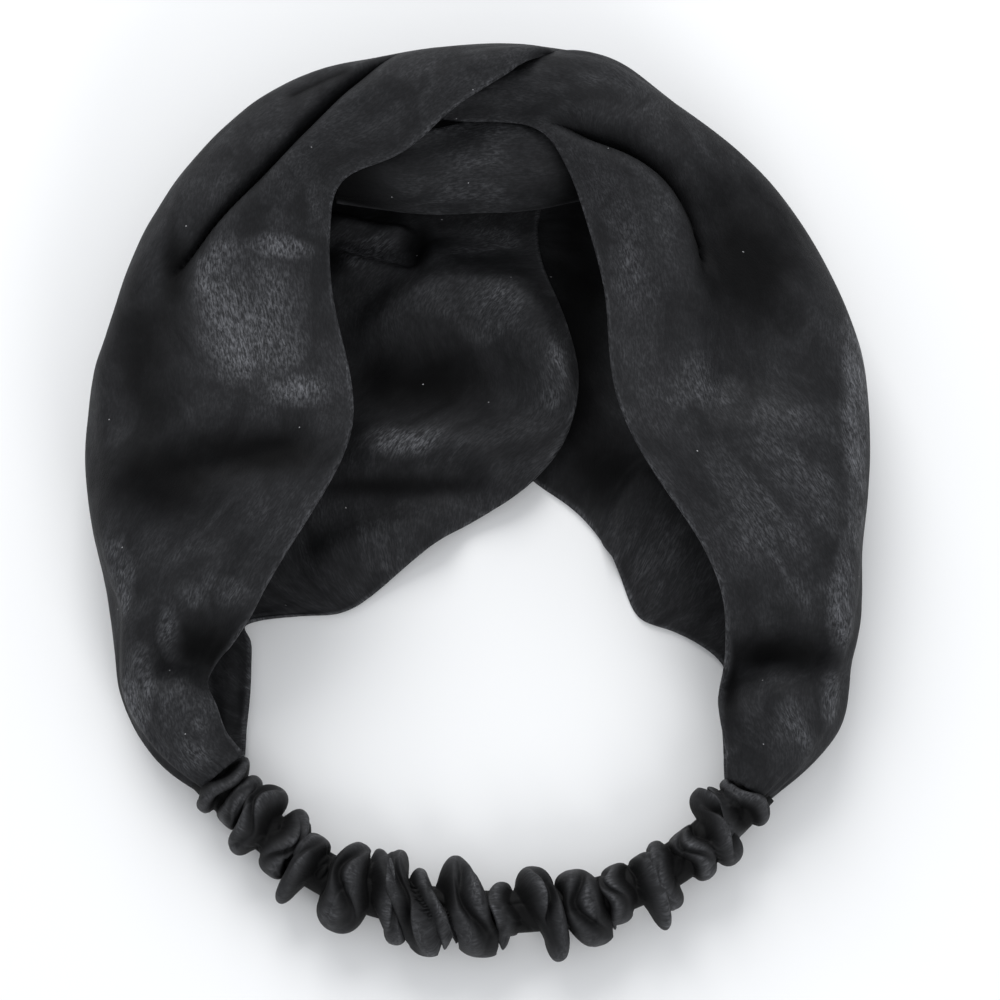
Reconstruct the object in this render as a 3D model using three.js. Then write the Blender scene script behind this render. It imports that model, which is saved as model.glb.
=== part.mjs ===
// A wide twist-front headband of thin black cloth, lying as it was laid down: two wings folded
// lengthwise, crossed at the twist, and a gathered elastic casing that closes the loop.
// +Z is up, +Y points to the twist, and the loop lies round the Z axis.
import * as THREE from 'three';

// Driving dimensions, in millimetres.
const CLOTH = 1.2;              // a wing's ply: two layers of satin with their turned edges
const FLOOR = CLOTH / 2;        // height of a ply's middle where it lies on the table
const STRIP_WIDTH = 5;          // the flat elastic in the casing
const STRIP_THICKNESS = 1;
const NECK_HALF_WIDTH = 4.4;    // half width of the casing between two gathers
const NECK_HALF_HEIGHT = 3.4;   // half height of the casing between two gathers
const CASING_AXIS = 7.2;        // height of the casing's axis over the table
const CASING_END = 0.6;         // how far the casing runs on past its first and last gather
const CASING_RINGS = 84;
const SIDES = 12;               // facets round the casing
const PANEL_STEPS = { along: 28, across: 15 };
const BAND_STEPS = { along: 14, across: 8 };

// A table becomes a list of rows whose values are read by column name.
const table = (columns, rows) => rows.map((row) => (
  Object.fromEntries(columns.map((column, k) => [column, row[k]]))
));

// Sections of a wing, from the casing to the twist. edge is the free edge of the upper ply,
// crest the top of its arch, fold the outermost point, and hem the free edge of the lower ply.
const WING = ['edgeX', 'edgeY', 'edgeZ', 'crestZ', 'foldX', 'foldY', 'foldZ', 'hemX', 'hemY', 'hemZ'];

const LEFT_WING = table(WING, [
  [-45.8, -52.0, 11, 13, -54.3, -59.4, 6, -46.4, -51.2, 1.5],
  [-49.0, -48.2, 13, 15.5, -61.0, -53.8, 8, -46.2, -47.5, 2.5],
  [-51.2, -42.7, 13.5, 18.5, -67.0, -45.5, 9, -45.4, -42.0, 3.5],
  [-52.8, -38.0, 12, 20, -69.4, -38.5, 10, -44.9, -36.5, 3.5],
  [-51.0, -34.0, 12, 21, -70.0, -33.5, 10, -44.8, -32.0, 3.0],
  [-48.0, -31.0, 15, 23, -70.6, -28.5, 11, -45.2, -28.2, 2.4],
  [-44.8, -27.2, 18.5, 25, -71.5, -23.5, 11.5, -46.0, -25.4, 1.5],
  [-41.5, -21.5, 22, 26, -72.5, -19.0, 12, -38.0, -23.6, 0.6],
  [-33.0, -8.5, 27, 29, -75.6, -6.5, 13, -25.5, -22.2, 0.6],
  [-25.0, 6.5, 28, 31, -76.8, 9.5, 14, -9.5, -10.0, 1.6],
  [-24.5, 19.0, 27, 31, -75.5, 23.5, 14, 8.0, 0.8, 3.2],
  [-28.5, 37.0, 25, 31, -70.0, 40.0, 15, 19.5, 18.0, 4.0],
  [-29.0, 50.5, 26, 32, -63.0, 55.5, 15, 17.5, 35.0, 5.0],
  [-25.0, 59.5, 30, 34, -49.0, 71.5, 16, 12.5, 49.5, 5.0],
  [-14.5, 63.5, 33, 36, -36.0, 80.5, 17, 13.0, 60.0, 4.0],
  [-5.5, 70.5, 36, 37.5, -20.0, 84.2, 18, 17.0, 68.0, 3.0],
  [3.0, 76.5, 36.5, 37, -5.0, 85.8, 17, 18.0, 74.5, 2.6],
  [9.5, 82.0, 34, 33.5, 5.5, 86.4, 15, 18.0, 79.0, 2.4],
  [13.0, 85.6, 30, 27, 11.5, 87.2, 13, 18.5, 82.0, 2.0],
]);

const RIGHT_WING = table(WING, [
  [49.3, -56.6, 11, 13, 56.2, -61.6, 6, 48.6, -56.4, 1.5],
  [48.0, -48.5, 14, 17, 67.0, -51.8, 8, 48.5, -47.0, 2.0],
  [47.2, -42.4, 15, 20, 71.2, -44.2, 9, 48.0, -41.0, 2.0],
  [48.2, -36.4, 17, 21, 72.4, -36.0, 10, 49.0, -35.0, 1.0],
  [48.2, -28.5, 22, 24, 74.0, -28.0, 11, 45.5, -30.2, 0.6],
  [46.5, -20.0, 25, 27, 75.0, -18.0, 12, 37.5, -26.0, 0.6],
  [43.3, -13.0, 26, 28, 75.7, -10.0, 12.5, 32.0, -23.6, 0.6],
  [38.5, -5.5, 27, 29, 76.4, -1.5, 13, 28.4, -15.6, 0.6],
  [30.5, 7.5, 27, 30, 77.3, 11.5, 14, 18.5, -1.5, 0.6],
  [26.5, 19.0, 26, 30, 76.5, 22.5, 14, 9.0, 6.0, 0.6],
  [25.0, 36.0, 25, 30, 71.5, 38.0, 15, 8.0, 22.0, 0.6],
  [22.0, 49.0, 25, 30, 65.0, 51.0, 15, 9.0, 36.0, 0.6],
  [19.0, 58.5, 26, 31, 55.0, 63.5, 15, 8.0, 48.0, 0.6],
  [14.0, 67.5, 27, 32, 39.5, 75.5, 16, 12.0, 59.0, 0.6],
  [7.0, 71.5, 25, 32, 28.5, 84.0, 16, 23.5, 70.0, 1.6],
  [-2.0, 72.5, 24, 31, 15.5, 85.6, 17, 9.0, 75.0, 9.5],
  [-9.0, 73.0, 23, 29, 3.0, 81.0, 18, -4.0, 75.0, 13.0],
]);

// The strip that crosses inside the twist, from its hidden left end to its hidden right end.
const TWIST_BAND = table(['x', 'nearY', 'nearZ', 'crestZ', 'farY', 'farZ'], [
  [-28, 57.0, 19, 28, 66.0, 31.0],
  [-19, 56.5, 15, 29, 67.0, 32.2],
  [-9, 55.5, 14, 26, 69.5, 26.0],
  [2, 56.5, 14, 24, 73.0, 17.5],
  [12, 57.0, 13, 22.5, 74.5, 15],
  [20, 58.5, 12, 21.5, 74.5, 14],
  [27, 60.0, 12, 20.5, 74.0, 13],
]);

// Long folds pressed into a ply: a valley has a negative height and a ridge a positive one.
const FOLD = ['from', 'through', 'to', 'width', 'height', 'ply'];

const LEFT_FOLDS = table(FOLD, [
  [[-16, 83], [-42, 59], [-58, 40], 3.5, -6, 'upper'],     // the long valley into the twist
  [[-60, 1], [-45, 5], [-31, 8], 6, -4, 'upper'],          // the slack across the wing's middle
  [[-64, -36], [-58, -34], [-52, -34], 4, -4, 'upper'],    // the hollow above the gathered end
  [[-64, -41], [-58, -40], [-52, -46], 4, 2, 'upper'],     // and the roll below it
  [[-26, 9], [-4, 11], [6, 1], 6, 4, 'lower'],             // the bulge across the lower ply
  [[-22, 32], [0, 42], [18, 18], 7, 5, 'lower'],           // and the one along its inner end
]);

const RIGHT_FOLDS = table(FOLD, [
  [[12, 70], [32, 63], [44, 44], 3.5, -7, 'upper'],        // the valley between roll and edge
  [[45, -38], [56, -35], [69, -37], 4, -5, 'upper'],       // the hollow above the gathered end
  [[49, -47], [57, -41], [67, -42], 5, 2, 'upper'],        // and the roll below it
]);

// Gathers of the casing, from the left wing to the right one. Each is a ridge that runs over the
// tube from a tip inside the loop to a tip outside it, as wide at each tip as the table says.
const GATHER = ['innerX', 'innerY', 'innerWidth', 'outerX', 'outerY', 'outerWidth', 'rise'];

const GATHERS = table(GATHER, [
  [-45.1, -52.6, 2.8, -54.6, -62.8, 3.6, 6.4],
  [-42.7, -56.5, 4.0, -49.9, -65.5, 4.6, 7.0],
  [-38.0, -58.8, 6.5, -47.9, -71.2, 4.8, 7.2],
  [-33.8, -63.0, 4.8, -41.4, -75.3, 6.0, 7.0],
  [-30.1, -68.1, 5.7, -38.9, -81.0, 3.6, 7.2],
  [-22.2, -69.4, 7.4, -28.4, -86.6, 8.8, 7.2],
  [-18.9, -70.4, 4.5, -16.5, -89.2, 5.0, 7.0],
  [-14.8, -70.6, 5.7, -10.1, -91.5, 8.4, 7.2],
  [-11.0, -74.2, 4.0, -5.5, -87.6, 4.0, 6.8],
  [-4.1, -71.7, 7.0, 0.7, -91.7, 10.5, 7.2],
  [4.9, -76.9, 3.8, 5.6, -87.6, 4.5, 6.4],
  [10.3, -73.8, 7.3, 16.0, -92.5, 4.6, 7.2],
  [18.2, -74.5, 8.0, 23.9, -89.4, 8.0, 7.2],
  [26.4, -73.5, 5.4, 28.4, -85.1, 5.0, 7.0],
  [31.1, -71.8, 4.6, 37.0, -86.3, 3.2, 7.0],
  [34.1, -69.1, 3.8, 39.2, -82.1, 4.6, 7.2],
  [39.4, -67.0, 5.7, 45.7, -76.1, 4.8, 7.2],
  [42.5, -59.0, 7.6, 50.9, -73.1, 5.4, 7.2],
  [46.0, -59.6, 3.5, 50.4, -67.1, 4.0, 7.0],
  [47.8, -57.2, 3.0, 56.6, -65.3, 3.8, 6.4],
]);

// The casing's axis, seen from above.
const CASING_ROUTE = [
  [-55.5, -53.0], [-51.0, -57.5], [-40.5, -67.5], [-28.5, -76.0], [-14, -81.0], [3, -82.8],
  [18, -81.5], [31, -77.5], [43, -70.0], [52.5, -61.0], [57.0, -56.0],
];

// Where a wing's section passes between its edge, fold and hem: how far from the edge or hem
// towards the fold, and how high between the two levels that meet there.
const ARCH = { crestAt: 0.42, shoulderAt: 0.9, shoulderRise: 0.74 };
const SOLE = { heelAt: 0.92, heelRise: 0.24, flatAt: 0.74, middleAt: 0.4 };

const mix = THREE.MathUtils.lerp;

function between(a, b, amount, z) {
  return new THREE.Vector3(mix(a.x, b.x, amount), mix(a.y, b.y, amount), z);
}

// One section of a wing, from the upper ply's edge over the arch and the outer fold to the hem.
function wingSection(row) {
  const edge = new THREE.Vector3(row.edgeX, row.edgeY, row.edgeZ);
  const fold = new THREE.Vector3(row.foldX, row.foldY, row.foldZ);
  const hem = new THREE.Vector3(row.hemX, row.hemY, row.hemZ);
  const sole = Math.max(FLOOR, Math.min(row.hemZ, row.foldZ * 0.5));
  return [
    edge,
    between(edge, fold, ARCH.crestAt, row.crestZ),
    between(edge, fold, ARCH.shoulderAt, mix(row.foldZ, row.crestZ, ARCH.shoulderRise)),
    fold,
    between(hem, fold, SOLE.heelAt, mix(FLOOR, row.foldZ, SOLE.heelRise)),
    between(hem, fold, SOLE.flatAt, row.hemZ > row.foldZ / 2 ? sole : FLOOR),
    between(hem, fold, SOLE.middleAt, row.hemZ > row.foldZ / 2 ? sole : mix(FLOOR, row.hemZ, 0.5)),
    hem,
  ];
}

// The strip's section: a low arch from its near edge to its far edge.
function bandSection(row) {
  const near = new THREE.Vector3(row.x, row.nearY, row.nearZ);
  const far = new THREE.Vector3(row.x, row.farY, row.farZ);
  return [
    near,
    between(near, far, 0.16, mix(row.nearZ, row.crestZ, 0.7)),
    between(near, far, 0.5, row.crestZ),
    between(near, far, 0.86, mix(row.farZ, row.crestZ, 0.7)),
    far,
  ];
}

const through = (points) => new THREE.CatmullRomCurve3(points, false, 'centripetal');

// The middle surface of a ply: smooth along every section, then smooth from section to section.
function loft(sections, steps) {
  const ribs = sections.map((points) => through(points).getPoints(steps.across));
  const lines = ribs[0].map((_, j) => through(ribs.map((rib) => rib[j])).getPoints(steps.along));
  return lines[0].map((_, i) => lines.map((line) => line[i]));
}

// How strongly a long fold acts at a point: full on its line, fading to its sides and its ends.
function foldStrength(point, fold) {
  const line = through([fold.from, fold.through, fold.to].map(([x, y]) => new THREE.Vector3(x, y, 0)));
  const spots = line.getPoints(24);
  const distances = spots.map((spot) => Math.hypot(spot.x - point.x, spot.y - point.y));
  const nearest = distances.indexOf(Math.min(...distances));
  const fade = Math.sin(Math.PI * mix(0.12, 0.88, nearest / (spots.length - 1)));
  return fade * Math.exp(-((distances[nearest] / fold.width) ** 2));
}

// Presses the long folds into the ply that each lies in. The upper ply is the first part of every
// section, and the lower ply the last.
function pressFolds(surface, folds) {
  const { smoothstep } = THREE.MathUtils;
  for (const section of surface) {
    section.forEach((point, j) => {
      const place = j / (section.length - 1);
      const share = { upper: 1 - smoothstep(place, 0.3, 0.42), lower: smoothstep(place, 0.56, 0.68) };
      for (const fold of folds) {
        point.z += fold.height * share[fold.ply] * foldStrength(point, fold);
      }
    });
  }
  return surface;
}

// A closed body of one ply: the middle surface moved half a thickness to each side, and the
// four rims between the two skins.
function ply(surface, thickness) {
  const rows = surface.length;
  const columns = surface[0].length;
  const positions = [];
  const along = new THREE.Vector3();
  const across = new THREE.Vector3();
  const skin = (side) => {
    for (let i = 0; i < rows; i += 1) {
      for (let j = 0; j < columns; j += 1) {
        along.subVectors(surface[Math.min(i + 1, rows - 1)][j], surface[Math.max(i - 1, 0)][j]);
        across.subVectors(surface[i][Math.min(j + 1, columns - 1)], surface[i][Math.max(j - 1, 0)]);
        const normal = along.clone().cross(across).normalize().multiplyScalar(side * thickness / 2);
        const point = surface[i][j].clone().add(normal);
        positions.push(point.x, point.y, Math.max(point.z, 0));
      }
    }
  };
  skin(1);
  skin(-1);
  const faces = [];
  const back = rows * columns;
  const quad = (a, b, c, d) => faces.push(a, b, c, a, c, d);
  for (let i = 0; i < rows - 1; i += 1) {
    for (let j = 0; j < columns - 1; j += 1) {
      const a = i * columns + j;
      const [b, c, d] = [a + columns, a + columns + 1, a + 1];
      quad(a, b, c, d);
      quad(back + a, back + d, back + c, back + b);
    }
  }
  for (let i = 0; i < rows - 1; i += 1) {
    const [a, b] = [i * columns, (i + 1) * columns];
    const [c, d] = [a + columns - 1, b + columns - 1];
    quad(b, a, back + a, back + b);
    quad(c, d, back + d, back + c);
  }
  for (let j = 0; j < columns - 1; j += 1) {
    const last = (rows - 1) * columns + j;
    quad(j, j + 1, back + j + 1, back + j);
    quad(last + 1, last, back + last, back + last + 1);
  }
  return closedBody(positions, faces);
}

// A body from its corners and faces, turned inside out if its faces point inwards.
function closedBody(positions, faces) {
  const corner = (k) => new THREE.Vector3().fromArray(positions, 3 * k);
  let volume = 0;
  for (let f = 0; f < faces.length; f += 3) {
    volume += corner(faces[f]).dot(corner(faces[f + 1]).cross(corner(faces[f + 2])));
  }
  if (volume < 0) faces.reverse();
  const geometry = new THREE.BufferGeometry();
  geometry.setAttribute('position', new THREE.Float32BufferAttribute(positions, 3));
  geometry.setIndex(faces);
  geometry.computeVertexNormals();
  return geometry;
}

// Where a gather's tip lies: how far along the casing's axis, and how far from it.
function tipPlace(x, y) {
  const spots = casingAxis.getSpacedPoints(400);
  const away = spots.map((spot) => Math.hypot(spot.x - x, spot.y - y));
  const nearest = away.indexOf(Math.min(...away));
  return { place: (nearest / 400) * casingAxis.getLength(), reach: away[nearest] };
}

// One ring of the casing at a place along its axis, inset by the wall for its inner skin.
function casingRing(place, inset) {
  const centre = casingAxis.getPointAt(place / casingAxis.getLength());
  const tangent = casingAxis.getTangentAt(place / casingAxis.getLength());
  const inward = new THREE.Vector3(-tangent.y, tangent.x, 0).normalize();
  return Array.from({ length: SIDES }, (_, k) => {
    const angle = (2 * Math.PI * k) / SIDES;
    const over = (1 - Math.cos(angle)) / 2;
    let sideways = NECK_HALF_WIDTH;
    let upwards = NECK_HALF_HEIGHT;
    for (const ridge of RIDGES) {
      const middle = mix(ridge.inner.place, ridge.outer.place, over);
      const offset = (place - middle) / (mix(ridge.innerWidth, ridge.outerWidth, over) / 2);
      const fullness = Math.sqrt(Math.max(0, 1 - offset ** 2));
      const reach = mix(ridge.inner.reach, ridge.outer.reach, over);
      sideways = Math.max(sideways, mix(NECK_HALF_WIDTH, reach, fullness));
      upwards = Math.max(upwards, mix(NECK_HALF_HEIGHT, ridge.rise, fullness));
    }
    const point = centre.clone().addScaledVector(inward, (sideways - inset) * Math.cos(angle));
    point.z += (upwards - inset) * Math.sin(angle);
    return point;
  });
}

// The gathered tube: an outer skin of ridges and necks, and an inner skin one wall inside it.
function gatheredTube() {
  const places = Array.from({ length: CASING_RINGS }, (_, r) => (
    mix(RIDGES[0].middle - CASING_END, RIDGES.at(-1).middle + CASING_END, r / (CASING_RINGS - 1))
  ));
  const outerRings = places.map((place) => casingRing(place, 0));
  const innerRings = places.map((place) => casingRing(place, CLOTH)).reverse();
  const rings = [...outerRings, ...innerRings];
  const positions = rings.flatMap((ring) => ring.flatMap((point) => point.toArray()));
  const faces = [];
  rings.forEach((_, r) => {
    const next = (r + 1) % rings.length;
    for (let k = 0; k < SIDES; k += 1) {
      const turn = (k + 1) % SIDES;
      const [a, b] = [r * SIDES + k, r * SIDES + turn];
      const [c, d] = [next * SIDES + turn, next * SIDES + k];
      faces.push(a, b, c, a, c, d);
    }
  });
  return closedBody(positions, faces);
}

// The flat elastic, swept along the casing's axis and held back a little from its two ends.
function elasticStrip() {
  const places = RIDGES.slice(1).map((ridge, k) => (RIDGES[k].middle + ridge.middle) / 2);
  const stops = places.map((place) => casingAxis.getPointAt(place / casingAxis.getLength()));
  const shape = new THREE.Shape([
    new THREE.Vector2(-STRIP_THICKNESS / 2, -STRIP_WIDTH / 2),
    new THREE.Vector2(STRIP_THICKNESS / 2, -STRIP_WIDTH / 2),
    new THREE.Vector2(STRIP_THICKNESS / 2, STRIP_WIDTH / 2),
    new THREE.Vector2(-STRIP_THICKNESS / 2, STRIP_WIDTH / 2),
  ]);
  return new THREE.ExtrudeGeometry(shape, { steps: 46, extrudePath: through(stops) });
}

function wing(rows, folds) {
  const surface = loft(rows.map(wingSection), PANEL_STEPS);
  return ply(pressFolds(surface, folds), CLOTH);
}

const casingAxis = through(CASING_ROUTE.map(([x, y]) => new THREE.Vector3(x, y, CASING_AXIS)));
const RIDGES = GATHERS.map((gather) => {
  const inner = tipPlace(gather.innerX, gather.innerY);
  const outer = tipPlace(gather.outerX, gather.outerY);
  return { ...gather, inner, outer, middle: (inner.place + outer.place) / 2 };
});

const cloth = new THREE.MeshStandardMaterial({ color: 0x222226, roughness: 0.55, metalness: 0 });
const elastic = new THREE.MeshStandardMaterial({ color: 0x1a1a1a, roughness: 0.9, metalness: 0 });

function piece(name, geometry, material) {
  const mesh = new THREE.Mesh(geometry, material);
  mesh.name = name;
  return mesh;
}

const headband = new THREE.Group();
headband.add(piece('left_panel', wing(LEFT_WING, LEFT_FOLDS), cloth));
headband.add(piece('right_panel', wing(RIGHT_WING, RIGHT_FOLDS), cloth));
headband.add(piece('twist_band', ply(loft(TWIST_BAND.map(bandSection), BAND_STEPS), CLOTH), cloth));
headband.add(piece('back_casing', gatheredTube(), cloth));
headband.add(piece('elastic_strip', elasticStrip(), elastic));

// The origin is the middle of the footprint, on the table.
const box = new THREE.Box3().setFromObject(headband);
const middle = box.getCenter(new THREE.Vector3());
headband.position.set(-middle.x, -middle.y, -box.min.z);

export default headband;
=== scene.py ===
import math

import bpy
import numpy as np
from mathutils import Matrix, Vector, noise


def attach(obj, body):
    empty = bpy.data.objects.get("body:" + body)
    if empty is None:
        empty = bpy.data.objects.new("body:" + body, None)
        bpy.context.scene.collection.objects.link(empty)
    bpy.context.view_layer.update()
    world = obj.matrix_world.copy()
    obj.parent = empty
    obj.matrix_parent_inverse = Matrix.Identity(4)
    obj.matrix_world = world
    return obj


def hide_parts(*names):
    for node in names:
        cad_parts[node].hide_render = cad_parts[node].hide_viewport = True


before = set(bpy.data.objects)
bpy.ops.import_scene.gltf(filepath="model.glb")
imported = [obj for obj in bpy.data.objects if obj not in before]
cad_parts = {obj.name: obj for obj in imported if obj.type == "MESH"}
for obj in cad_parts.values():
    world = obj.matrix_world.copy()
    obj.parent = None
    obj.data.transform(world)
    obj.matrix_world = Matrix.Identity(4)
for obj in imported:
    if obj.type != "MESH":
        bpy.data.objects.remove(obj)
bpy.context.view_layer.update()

MM = 0.001

# The place: a pale matt table top under soft studio light, seen from high in front of the loop.
# A wide softbox hangs beyond the twist, so that level cloth catches its sheen.
TABLE_SIZE = 4.0
LOOK_AT = Vector((4.16, 2.38, 0.0)) * MM
CAMERA_DISTANCE = 0.9
CAMERA_ELEVATION = math.radians(80)
VIEW_WIDTH = 0.2
SENSOR = 36.0


def plain_material(name, colour, roughness):
    """A material of one even colour."""
    material = bpy.data.materials.new(name)
    material.use_nodes = True
    shader = material.node_tree.nodes["Principled BSDF"]
    shader.inputs["Base Color"].default_value = (*colour, 1)
    shader.inputs["Roughness"].default_value = roughness
    return material


def add_area_light(name, place, size, power):
    """A square light that points at the middle of the table."""
    data = bpy.data.lights.new(name, "AREA")
    data.size = size
    data.energy = power
    light = bpy.data.objects.new(name, data)
    light.location = place
    light.rotation_euler = (-Vector(place)).to_track_quat("-Z", "Y").to_euler()
    bpy.context.collection.objects.link(light)


table_mesh = bpy.data.meshes.new("table_top")
half = TABLE_SIZE / 2
table_mesh.from_pydata(
    [(-half, -half, 0), (half, -half, 0), (half, half, 0), (-half, half, 0)], [], [(0, 1, 2, 3)]
)
table_mesh.materials.append(plain_material("pale_table", colour=(0.86, 0.865, 0.87), roughness=0.55))
table_top = bpy.data.objects.new("table_top", table_mesh)
bpy.context.collection.objects.link(table_top)

world = bpy.data.worlds.new("studio")
world.use_nodes = True
background = world.node_tree.nodes["Background"]
background.inputs["Color"].default_value = (0.95, 0.97, 1.0, 1)
background.inputs["Strength"].default_value = 0.72
bpy.context.scene.world = world
bpy.context.scene.view_settings.view_transform = "Standard"
add_area_light("softbox", place=(-0.25, 1.15, 0.85), size=0.9, power=15.5)
add_area_light("low_fill", place=(0.5, -1.0, 0.7), size=0.5, power=4.5)

camera_data = bpy.data.cameras.new("camera")
camera_data.sensor_width = SENSOR
camera_data.lens = SENSOR * CAMERA_DISTANCE / VIEW_WIDTH
camera = bpy.data.objects.new("camera", camera_data)
to_camera = Vector((0, -math.cos(CAMERA_ELEVATION), math.sin(CAMERA_ELEVATION)))
camera.location = LOOK_AT + CAMERA_DISTANCE * to_camera
camera.rotation_euler = (math.pi / 2 - CAMERA_ELEVATION, 0, 0)
bpy.context.collection.objects.link(camera)
bpy.context.scene.camera = camera

# Left wing: a long band of thin black crinkled satin, sewn as a flat tube, so two layers thick
# with turned edges. It lies folded lengthwise, its outer fold outwards and its two edges inwards,
# from its gathered end at the casing to the twist, where it passes over the right wing.
WING = (
    "edge_x", "edge_y", "edge_z", "crest_z", "fold_x", "fold_y", "fold_z", "hem_x", "hem_y", "hem_z",
)
LEFT_WING = [
    dict(zip(WING, row))
    for row in (
        (-46.0, -52.2, 10.6, 12.4, -53.8, -58.8, 5, -46.4, -52.0, 3.0),
        (-49.0, -48.2, 13, 15.5, -61.0, -53.0, 3.5, -46.2, -47.5, 2.5),
        (-51.2, -42.7, 13.5, 18.5, -67.0, -44.8, 4, -45.4, -42.0, 3.5),
        (-52.8, -38.0, 12, 20, -69.4, -38.0, 4.5, -44.9, -36.5, 3.5),
        (-51.0, -34.0, 12, 21, -70.0, -33.1, 5, -44.8, -32.0, 3.0),
        (-48.0, -31.0, 15, 23, -70.6, -28.3, 6, -45.2, -28.2, 2.4),
        (-44.8, -27.2, 18.5, 25, -71.5, -23.4, 7.5, -46.0, -25.4, 1.5),
        (-41.5, -21.5, 22, 26, -72.5, -19.0, 9, -38.0, -23.6, 0.6),
        (-33.0, -8.5, 27, 29, -75.6, -6.5, 12, -25.5, -22.2, 0.6),
        (-25.0, 6.5, 28, 31, -76.8, 9.5, 14, -9.5, -10.0, 1.6),
        (-24.5, 19.0, 27, 31, -75.5, 23.5, 14, 8.0, 0.8, 3.2),
        (-28.5, 37.0, 25, 31, -70.0, 40.0, 15, 19.5, 18.0, 4.0),
        (-29.0, 50.5, 26, 32, -63.0, 55.5, 15, 17.5, 35.0, 5.0),
        (-25.0, 59.5, 30, 34, -49.0, 71.5, 16, 12.5, 49.5, 5.0),
        (-14.5, 63.5, 33, 36, -36.0, 80.5, 17, 13.0, 60.0, 4.0),
        (-5.5, 70.5, 36, 37.5, -20.0, 84.2, 18, 17.0, 68.0, 3.0),
        (3.0, 76.5, 36.5, 37, -5.0, 85.8, 17, 18.0, 74.5, 2.6),
        (9.5, 81.6, 33.5, 33, 11.0, 86.3, 14, 19.0, 79.0, 2.0),
        (13.6, 85.0, 28, 25, 20.0, 85.8, 9, 22.5, 81.5, 1.6),
    )
]
# A long fold has a route in plan, its reach to the left and right of the route, a height that is
# negative in a valley, a crispness that is 2 for a soft bend and near 1 for a sharp one, and a ply.
FOLD = ("route", "reach_left", "reach_right", "height", "crisp", "ply")
LEFT_FOLDS = [
    dict(zip(FOLD, row))
    for row in (
        (
            ((-12, 84.5), (-16, 82.5), (-29.6, 72), (-42.5, 59), (-53.8, 47), (-61, 36)),
            0.9, 1.1, -6.4, 1.3, "upper",
        ),
        (((-12, 81), (-28, 70), (-41, 57), (-51, 46)), 3.0, 1.6, 1.4, 2, "upper"),
        (((-52, 50), (-58, 42), (-64, 30), (-67, 14), (-68, 0)), 5, 5, -3.0, 2, "upper"),
        (((-39, 73.5), (-31, 77), (-23, 80.5)), 1.2, 1.4, -1.2, 1.2, "upper"),
        (((-64, 1), (-47, 4), (-29, 10)), 5, 5, -3.5, 2, "upper"),
        (((-44, -15), (-50.4, -19), (-60, -28), (-64.5, -33), (-65, -41)), 3.5, 5, 2.0, 2, "upper"),
        (((-66, -37), (-59, -35), (-52, -33.5), (-43.5, -32)), 6.5, 4.8, -6.0, 2, "upper"),
        (((-65, -41.5), (-58.5, -39), (-54, -39.8), (-49, -47)), 2.5, 5, 1.2, 2, "upper"),
        (((-30, 8.6), (-15, 10), (-3.4, 11), (2.5, 7), (8, -2)), 7, 5, 5.0, 2, "lower"),
        (((-36, -15), (-24, -9), (-14, -6.5), (-2, -4)), 3.5, 8, 3.5, 2, "lower"),
        (
            ((-27, 30), (-11, 40), (0, 42.5), (9, 39.5), (14, 31), (18, 20), (18.5, 11)),
            3.6, 9, 7.0, 2, "lower",
        ),
        (((-33, 58.6), (-25, 56), (-20, 54.6), (-12, 53.4)), 0.9, 4.5, 6.0, 2, "lower"),
        (
            ((-31, 51), (-25.2, 48), (-17, 45.6), (-13, 44.8), (-10.5, 46.5), (-8.6, 54)),
            1.2, 6, 5.5, 2, "lower",
        ),
    )
]
# Painted highlights that lighten the nap's tone, or below 0 painted shade that darkens it: a place in
# plan, how far it reaches, its strength, and the ply that it is on.
PAINTED_LIGHT = ("x", "y", "reach_x", "reach_y", "strength", "ply")
LEFT_PAINTED_LIGHT = [
    dict(zip(PAINTED_LIGHT, row))
    for row in (
        (-44.5, 31, 12, 16, 0.78, "upper"),
        (-50.5, 38, 6, 9, 0.76, "upper"),
        (-39.5, 45, 6.5, 3, 0.85, "upper"),
        (-34.5, 16, 7, 4, 0.85, "upper"),
        (-32.5, 54, 2.5, 6.5, 0.5, "upper"),
        (-49, -21.5, 8, 3.5, 0.55, "upper"),
        (-69.5, -20, 4.5, 12, 0.65, "upper"),
        (-67, -41, 4.5, 11, 0.9, "upper"),
        (-58.5, -52, 8, 6.5, 0.66, "upper"),
        (-57, -46, 8.5, 9, 0.52, "upper"),
        (-15, 77.5, 9.5, 2.5, 0.34, "upper"),
        (-53.5, -31.5, 9, 5.4, -0.97, "upper"),
        (-60, -28, 2.6, 7, 0.56, "upper"),
        (-55, -22.5, 6, 3, 0.56, "upper"),
        (-43, 4.5, 16.5, 5.5, -0.95, "upper"),
        (-61, -1, 13.5, 7.5, -0.92, "upper"),
        (-64, 22, 7.5, 15.5, -0.8, "upper"),
        (-59, 40, 3, 8, -0.95, "upper"),
        (-13.5, 11, 12, 3.6, 0.74, "lower"),
        (2, 37, 16, 8.5, 0.47, "lower"),
        (15.5, 24, 3, 10.5, 0.6, "lower"),
        (-17.5, -9.5, 13, 7, 0.42, "lower"),
        (0.5, 51.5, 11, 4.5, 0.5, "lower"),
        (-21, 50, 7.5, 4, 0.72, "lower"),
        (-11.5, 51, 2.6, 5.5, -0.95, "lower"),
        (-11, 24, 18, 8.5, -0.98, "lower"),
        (-16.5, 2.5, 18.5, 2.5, -0.92, "lower"),
    )
]
# Millimetres: the tables' origin on the table top, the middle of a wall that lies on it, the least
# height of any skin, the wall of two layers, and the thicker turned edge and how far in it reaches.
TABLE_OFFSET = np.array([-0.247, 2.216, 0.0])
FLOOR = 0.5
LOWEST_SKIN = 0.02
CLOTH_WALL = 1.0
TURNED_EDGE = 1.5
EDGE_SWELL_REACH = 2.2
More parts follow.
